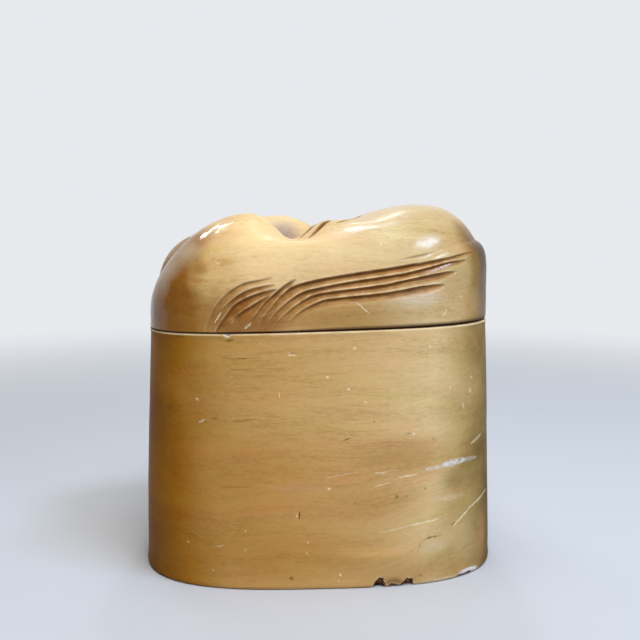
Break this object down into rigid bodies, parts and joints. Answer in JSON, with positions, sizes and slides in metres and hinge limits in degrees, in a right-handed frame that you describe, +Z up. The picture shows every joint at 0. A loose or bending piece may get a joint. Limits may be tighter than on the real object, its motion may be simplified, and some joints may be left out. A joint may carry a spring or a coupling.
{
  "type": "carved wooden box",
  "caption": "Carved wooden box: a hollow oval block with a lift-off lid of swelling forms crossed by gouged strands, kept in place by a locating board.",
  "frame": {"origin": "on the resting face, under the middle of the block", "axes": "+Z up, the direction the lid lifts; +X along the length, towards the lid's taller end; the pictured side faces -Y"},
  "size_m": [0.157, 0.1068, 0.1586],
  "materials": {
    "base_wood": "waxed, satin to semi-gloss, fine horizontal grain, amber with a paler right end",
    "lid_wood": "waxed, semi-gloss, fine grain, darker stain left in the gouge cuts",
    "plug_wood": "plain planed wood, matt"
  },
  "bodies": {
    "base": {"base": "base_wood"},
    "lid": {"lid": "lid_wood", "lid_plug": "plug_wood"}
  },
  "joints": [
    {"name": "lid_lift", "type": "slide", "parent": "base", "child": "lid", "axis": [0, 0, 1], "range_m": [0, 0.09]}
  ]
}
